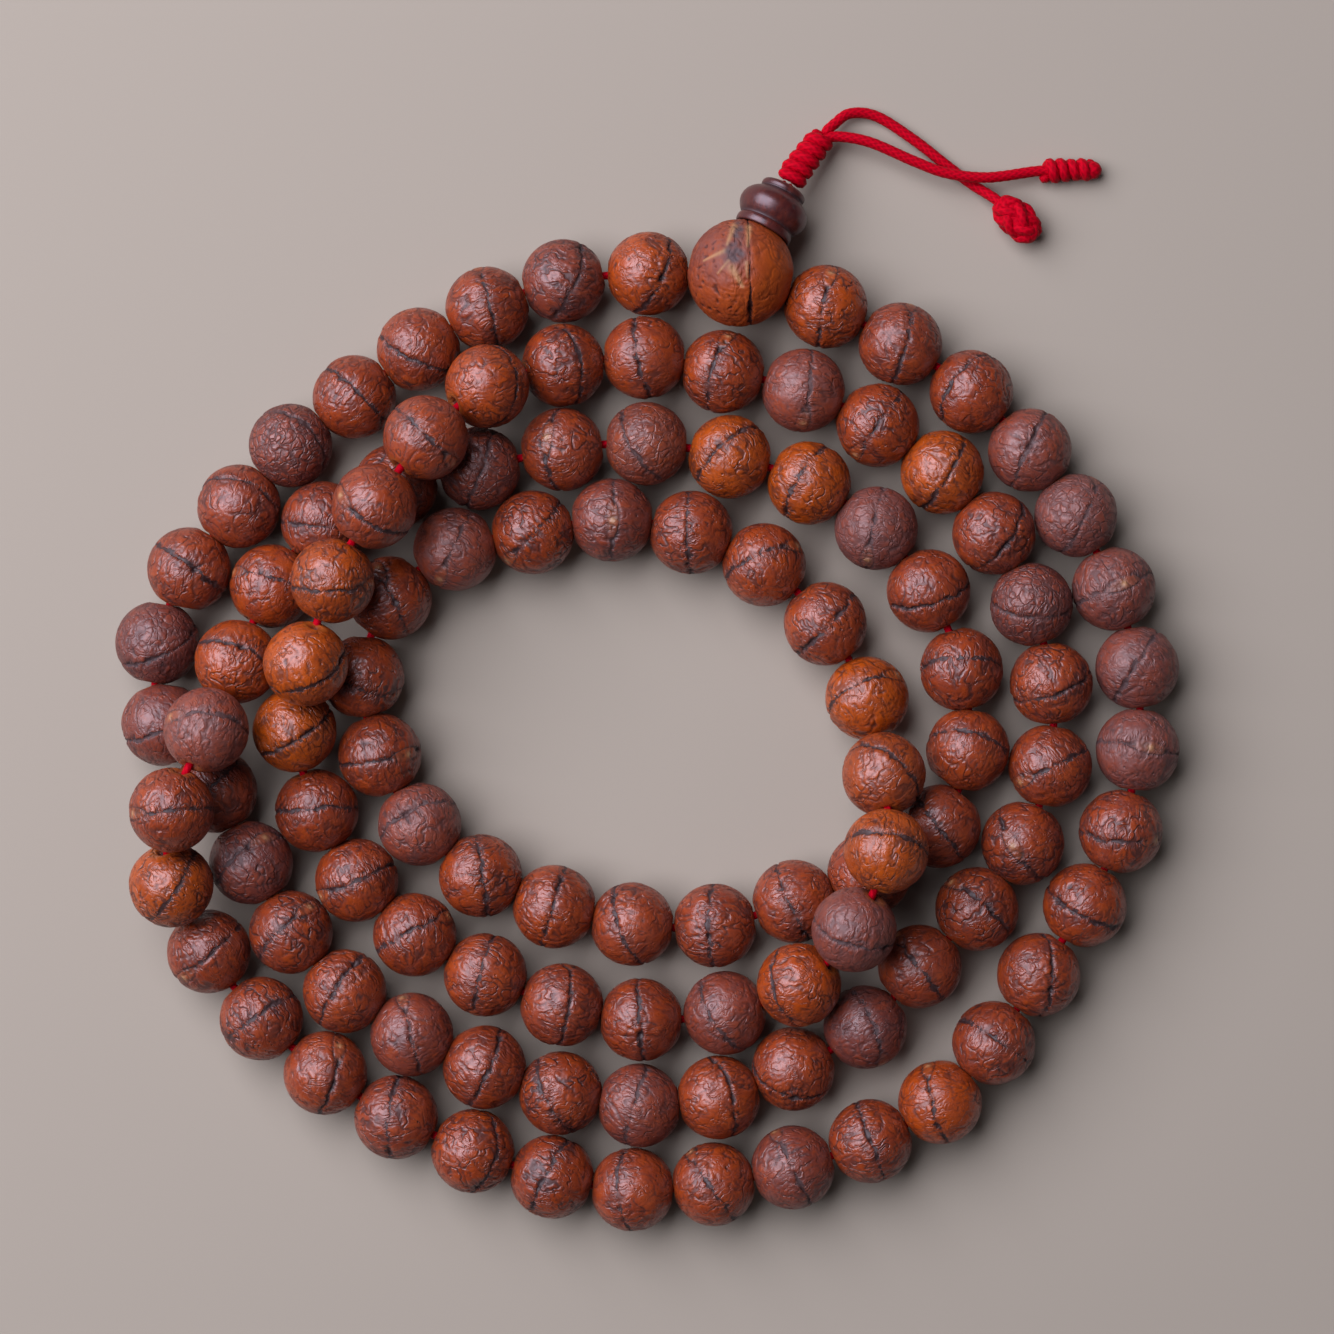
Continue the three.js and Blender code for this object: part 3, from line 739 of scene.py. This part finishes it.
def make_seeds(centres, axes):
    """One mesh for each CAD node of seeds: a free seed, or a run of them."""
    directions, quads = rounded_cube(SEED_DIVISIONS)
    count = len(directions)
    turns, finishes, nets, depths, keys = [], [], [], [], []
    for k in range(1, SLOTS):
        turn, tone, dust, net = seed_look(k)
        turns.append(turn)
        finishes.append([tone, 0, dust, 0.6 + 0.4 * rng.random()])
        nets.append(net)
        depths.append(rng.uniform(0.55, 1.1))
        keys.append(rng.uniform(0, 200, 3))
    anatomy = np.concatenate([directions @ turn.T for turn in turns])
    key = np.repeat(np.array(keys), count, axis=0)
    height, hollow, pale, place = seed_relief(anatomy, SEED_RADIUS, key, np.repeat(depths, count))

    planes = meeting_planes(centres, axes)
    from_bore = SEED_RADIUS * np.hypot(directions[:, 0], directions[:, 2])
    mouth, rim = bell(from_bore, 0.78), bell(from_bore - 1.15, 0.42)
    parts = {}
    for k in range(1, SLOTS):
        mine = slice((k - 1) * count, k * count)
        relief = height[mine] * (1 - 0.8 * bell(from_bore, 1.6)) - 0.95 * mouth - 0.05 * rim
        reach = soft_limit(SEED_RADIUS + relief, SEED_MOST)
        placed = (directions * reach[:, None]) @ axes[k] + centres[k]
        for (point, normal), side in ((planes[k], 1), (planes[k - 1], -1)):
            cap = SLIDE_CAP if SLIDING & {k, k + side} else SEED_CAP
            beyond = (placed - point) @ normal * side + cap
            placed -= np.clip(beyond, 0, None)[:, None] * normal * side
        placed += GROUP_SHIFT
        # painted shade: the hollows are drawn darker, less on the worn rim, and the bore's mouth much darker
        shaded_hollows = np.clip(hollow[mine] * (1 - 0.7 * rim) + 0.9 * mouth, 0, 1)
        marks = np.stack([shaded_hollows, pale[mine], rim * 0.6, np.full(count, nets[k - 1])], -1)
        finish = np.repeat([finishes[k - 1]], count, axis=0)
        grain = anatomy[mine] * SEED_RADIUS + keys[k - 1]
        parts[k] = placed, marks, finish, grain, place[mine]

    bodies = {node: body for body, nodes in frame["record"]["behaviour"]["bodies"].items() for node in nodes}
    slots = {part["node"]: part["material_slot"] for part in frame["record"]["subparts"]}
    materials = {name: seed_material(name, *look) for name, look in SEED_LOOKS.items() if name != "guru_seed"}
    for node in sorted(frame["nodes"]):
        if not node.startswith("bead"):
            continue
        numbers = [int(x) for x in node.split("_")[1:]]
        chosen = range(numbers[0], numbers[-1] + 1)
        faces = np.vstack([quads + i * count for i in range(len(chosen))])
        placed, marks, finish, grain, place = (np.vstack([parts[k][i] for k in chosen]) for i in range(5))
        name = node.replace("beads", "seeds").replace("bead", "seed")
        mesh_object(name, placed, [faces], bodies[node], slots[node], node, materials[slots[node]],
                    marks=marks, finish=finish, grain=grain, place=place)


def make_guru(centre, axes):
    """The larger seed: a seam right of its middle, and pale rays round a grey patch."""
    directions, quads = rounded_cube(GURU_DIVISIONS)
    anatomy = directions @ turned_about_bore(math.radians(128), 0.05, 0.08).T
    count = len(directions)
    key = np.full((count, 3), GURU_KEY)
    height, hollow, _, _ = seed_relief(anatomy, GURU_RADIUS, key, np.zeros(count))
    shape = directions * np.array([GURU_RADIUS, GURU_HALF_LENGTH, GURU_RADIUS])
    placed_flat = shape @ axes
    moved = placed_flat + key
    above = directions @ axes[:, 2] > 0
    right, up = placed_flat[:, 0], placed_flat[:, 1]

    seam_at = 1.05 - 0.03 * up + 0.14 * gradient_noise(moved / 2.2, 21)
    seam = bell(right - seam_at, 0.12) * np.clip(0.75 + 0.5 * gradient_noise(moved / 1.3, 24), 0.3, 1)
    slot = np.where(above, bell(right - 1.15, 0.28) * bell(up + 5.1, 0.7), 0)
    rays = np.zeros(count)
    for start, end, width in GURU_RAYS:
        start, end = np.array(start), np.array(end)
        share = np.clip((placed_flat[:, :2] - start) @ (end - start) / np.sum((end - start) ** 2), 0, 1)
        off = placed_flat[:, :2] - start - share[:, None] * (end - start)
        ray = bell(np.linalg.norm(off, axis=1), width * (1.15 - 0.7 * share))
        rays = np.maximum(rays, np.where(above, ray, 0))
    middle = 1.15 * bell(np.hypot((right + 0.75) / 1.35, (up - 1.6) / 1.5), 1.0)
    strip = 1.15 * bell(np.hypot((right + 0.25 + 0.1 * (5 - up)) / 0.6, (up - 4.2) / 2.0), 1.0)
    patch = np.where(above, np.maximum(middle, strip), 0)
    patch = np.clip(patch * (0.95 + 0.9 * gradient_noise(moved / 0.8, 22)), 0, 1)
    pores = np.clip(gradient_noise(moved / 0.62, 23) - 0.31, 0, 1) * 3.4 * np.clip(0.6 - right / 5, 0.1, 1)
    star = 1 + 0.45 * np.cos(5 * np.arctan2(up - 1.6, right + 0.8))
    pit = np.where(above, bell(np.hypot(right + 0.8, up - 1.6) / star, 0.42), 0)

    from_bore = GURU_RADIUS * np.hypot(directions[:, 0], directions[:, 2])
    mouth, rim = bell(from_bore, 0.85), bell(from_bore - 1.3, 0.45)
    relief = 0.6 * height - 0.16 * seam - 0.5 * slot + 0.06 * rays - 0.22 * np.clip(pores, 0, 1)
    relief += -0.25 * pit - 0.05 * patch - 1.0 * mouth
    local = shape * (1 + relief / GURU_RADIUS)[:, None]
    placed = local @ axes + centre + GROUP_SHIFT
    # painted shade: the hollows, seam, slot, pores, pit and bore's mouth are drawn darker, less under the
    # pale rays
    dark = 0.35 * hollow + 0.55 * seam + slot + 0.8 * np.clip(pores, 0, 1) + 0.8 * pit + 0.9 * mouth
    dark = np.clip(dark - 0.6 * rays, 0, 1)
    marks = np.stack([dark, np.clip(rays, 0, 1), 0.6 * rim, np.full(count, 0.05)], -1)
    # painted fill light: the tone rises towards the right and the bottom, the side turned away from the
    # window light
    tone = np.clip(0.52 + 0.07 * right - 0.03 * up, 0, 1)
    dusty = 1.3 * bell(np.hypot(right + 2.6, up - 2.2), 3.6)
    finish = np.stack([tone, patch, dusty, np.full(count, 0.4)], -1)
    closed = 1 + 2.4 * np.clip((up + 4.2) / 1.5, 0, 1)  # the seam gapes only at its lower end
    place = np.stack([right, (right - seam_at) * closed, np.full(count, NO_STAR)], -1)
    material = seed_material("guru_seed", *SEED_LOOKS["guru_seed"])
    mesh_object("guru_seed_bead", placed, [quads], "strand", "guru_seed", "guru_bead", material,
                marks=marks, finish=finish, grain=moved, place=place)


# ---- stopper ----
def make_stopper(guru_centre, axis):
    """A turned vase: a flange over the guru seed, a groove, a round belly, a waist and a collar."""
    outline = [  # radius and height over the base, each with how much painted shade darkens it there
        (0.95, 1.35, 1), (1.9, 0.85, 0.9), (2.9, 0.35, 0.8), (3.3, 0.0, 0.6), (3.52, 0.04, 0.2),
        (3.62, 0.3, 0), (3.62, 0.75, 0), (3.52, 1.02, 0.2), (3.42, 1.18, 0.9), (3.52, 1.36, 0.7),
        (3.88, 1.75, 0.1), (4.22, 2.35, 0), (4.38, 2.95, 0), (4.3, 3.6, 0), (4.02, 4.2, 0),
        (3.55, 4.7, 0), (3.05, 5.05, 0.3), (2.78, 5.22, 0.9), (2.74, 5.36, 0.9), (2.84, 5.55, 0.2),
        (2.86, 5.85, 0), (2.72, 6.15, 0), (2.35, 6.3, 0.1), (1.7, 6.24, 0.5), (1.25, 6.05, 0.9),
        (1.05, 5.6, 1), (1.0, 3.8, 1),
    ]
    profile = smooth_path(outline, 0.16)
    sides = 112
    angles = 2 * math.pi * np.arange(sides) / sides
    radius, level, darkening = profile.T
    across, rise = np.outer(radius, np.cos(angles)), np.outer(radius, np.sin(angles))
    local = np.stack([across, np.repeat(level[:, None], sides, 1), rise], -1).reshape(-1, 3)
    size = 1 + 0.006 * gradient_noise(local / 3.1, 31)
    grain = local.copy()
    local[:, 0] *= size
    local[:, 2] *= size
    base = guru_centre + axis * STOPPER_BASE + GROUP_SHIFT
    placed = local @ local_axes(axis) + base
    here, row = np.arange(sides)[None], np.arange(len(profile))[:, None] * sides
    above = (np.arange(len(profile))[:, None] + 1) % len(profile) * sides
    following = (here + 1) % sides
    quads = np.stack([row + here, above + here, above + following, row + following], -1).reshape(-1, 4)
    marks = np.zeros((len(placed), 4))
    # painted shade in the recesses, from the outline's third column
    marks[:, 0] = np.clip(np.repeat(darkening, sides), 0, 1)
    marks[:, 3] = 1
    mesh_object("turned_stopper", placed, [quads], "guru_stopper", "stopper_wood", "guru_stopper",
                wood_material(), marks=marks, grain=grain)


# ---- cords and knots ----
def knot_strand(points, origin, axis, radius, **options):
    """A braid along points given in a knot's own side, along, rise."""
    return braided(np.asarray(points) @ local_axes(axis) + origin, radius, **options)


def core(length, radius, origin, axis):
    """An oval core that closes the gaps between a knot's wraps."""
    share = np.linspace(-0.98, 0.98, 40)
    points = np.stack([0 * share, length * (0.5 + 0.42 * share), 0 * share], -1)
    return knot_strand(points, origin, axis, radius * np.sqrt(1 - share**4), sides=24, relief=0.03)


def cord_object(name, parts, body, node, material):
    """One mesh of red cord from several braids."""
    vertices, faces, marks, grain = joined(parts)
    return mesh_object(name, vertices, faces, body, "red_cord", node, material, marks=marks, grain=grain)


def make_snake_knot(base, tip, material):
    """A cord looped over its fellow again and again, which swells into five lobes on each side."""
    axis = tip - base
    length = float(np.linalg.norm(axis))
    lobes, wrap = 5, 0.78
    first, last = wrap - 0.75, length + 0.4 - wrap
    t = np.linspace(0, 1, 60 * lobes)
    angle = math.pi - 2 * math.pi * lobes * t
    side = (1.28 - 0.26 * t) * np.cos(angle)
    rise = 0.80 * np.sin(angle)
    along = first + (last - first) * t
    wraps = knot_strand(np.stack([side, along, rise], -1), base, axis, wrap, sides=32, relief=0.10)
    parts = [wraps, core(length, 1.15, base, axis)]
    cord_object("snake_knot_wraps", parts, "knot", "snake_knot", material)


def make_barrel_knot(base, axis, material):
    """The cord's end wrapped nearly five times round itself, with a rounded tip."""
    wraps, wrap = 4.6, 0.72
    pitch = (BARREL_LENGTH - 2 * wrap - 0.5) / wraps
    t = np.linspace(0, 1, 240)
    angle = 0.6 - 2 * math.pi * wraps * t
    reach = (BARREL_RADIUS - wrap) * (1 + 0.12 * np.sin(7 * t))
    spiral = np.stack([reach * np.cos(angle), wrap + pitch * wraps * t, reach * np.sin(angle)], -1)
    nub = np.array([[0.15, y, 0] for y in np.linspace(BARREL_LENGTH * 0.55, BARREL_LENGTH, 24)])
    parts = [
        knot_strand(spiral, base, axis, wrap, sides=32, relief=0.10),
        knot_strand(nub, base, axis, 1.15, sides=32, relief=0.08),
        core(BARREL_LENGTH, 1.0, base, axis),
    ]
    return cord_object("barrel_end_knot", parts, "tail_long", "end_knot_barrel", material)


def make_button_knot(base, axis, material):
    """A plump woven knot: one strand laid as a six-lead, five-bight braid over an oval."""
    leads, bights, wrap = 6, 5, 0.68
    t = np.linspace(0, 2 * math.pi, 1300)
    longitude, swing = leads * t, bights * t
    latitude = 1.15 * np.cos(swing)
    reach = BUTTON_RADIUS - wrap - 0.10 + 0.22 * np.sin((leads - 1) * swing)
    half = BUTTON_LENGTH / 2 - wrap
    ring = np.cos(latitude) * reach
    level = BUTTON_LENGTH / 2 + half * np.sin(latitude) * 1.05
    points = np.stack([ring * np.cos(longitude), level, ring * np.sin(longitude)], -1)
    parts = [
        knot_strand(points, base, axis, wrap, sides=24, relief=0.10),
        core(BUTTON_LENGTH, 1.85, base, axis),
    ]
    return cord_object("button_end_knot", parts, "tail_short", "end_knot_button", material)


def make_tail(name, route, knot_end, knot_start, node, material):
    """A free cord from inside the snake knot to the far end of its own knot.

    Its body has its node's name.
    """
    path = smooth_path([knot_start, *route, *knot_end], 0.09)
    cord = cord_object(name, [braided(path, TAIL_RADIUS, sides=64)], node, node, material)


def make_tails(back, material):
    """Both tails with their knots. back is the direction from the snake knot's tip to its base."""
    for name, node, route, heading, length, radius, make_knot in (
        ("short_tail_cord", "tail_short", SHORT_TAIL, BUTTON_HEADING, BUTTON_LENGTH, BUTTON_RADIUS,
         make_button_knot),
        ("long_tail_cord", "tail_long", LONG_TAIL, BARREL_HEADING, BARREL_LENGTH, BARREL_RADIUS,
         make_barrel_knot),
    ):
        points = [np.array(p) + GROUP_SHIFT for p in route]
        axis = np.array([math.cos(heading), math.sin(heading), 0])
        start = points[-1] + axis * END_GAP
        start[2] = radius * math.cos(math.pi / 8)
        inside = [start + axis * length * share for share in (0.25, 0.55, 0.85)]
        ahead = (points[1] - points[0]) / np.linalg.norm(points[1] - points[0])
        tucked = points[0] + (back - ahead) / np.linalg.norm(back - ahead) * TUCKED
        knot = make_knot(start, axis, material)
        make_tail(name, points, inside, tucked, node, material)


def make_strand(centres, material):
    """The cord through all the beads. Its two ends stop just beside the guru bead's middle."""
    through = np.vstack([centres, centres[:1]]) + GROUP_SHIFT
    through[0] = through[0] + 0.12 * (through[1] - through[0])
    through[-1] = through[-1] + 0.12 * (through[-2] - through[-1])
    strand = braided(smooth_path(through, 0.5), STRAND_CORD_RADIUS, sides=12, relief=0.07)
    cord_object("strand_cord_braid", [strand], "strand", "strand_cord", material)


def make_cords(centres, stopper_axis):
    material = cord_material()
    mouth = centres[0] + stopper_axis * (STOPPER_BASE + STOPPER_HEIGHT) + GROUP_SHIFT
    base = mouth + stopper_axis * SNAKE_GAP
    drop = base[2] - SNAKE_TIP
    run = math.sqrt(SNAKE_LENGTH**2 - drop**2)
    tip = base + [run * math.cos(SNAKE_HEADING), run * math.sin(SNAKE_HEADING), -drop]
    make_tails((base - tip) / np.linalg.norm(base - tip), material)
    make_snake_knot(base, tip, material)
    make_strand(centres, material)

    side = local_axes(stopper_axis)[0] * NECK_CORD_RADIUS
    first = centres[0] + GROUP_SHIFT + stopper_axis * NECK_START
    last = mouth + stopper_axis * 0.3
    pair = [braided(np.linspace(first + s, last + s, 60), NECK_CORD_RADIUS, sides=16) for s in (side, -side)]
    cord_object("neck_cords", pair, "strand", "neck_cord", material)


make_camera()
CENTRES = settled_centres()
AXES = bead_frames(CENTRES)
STOPPER_AXIS = np.array([
    math.cos(STOPPER_HEADING) * math.cos(STOPPER_DIP),
    math.sin(STOPPER_HEADING) * math.cos(STOPPER_DIP),
    -math.sin(STOPPER_DIP),
])
make_cords(CENTRES, STOPPER_AXIS)
make_surroundings()
make_seeds(CENTRES, AXES)
make_guru(CENTRES[0], AXES[0])
make_stopper(CENTRES[0], STOPPER_AXIS)
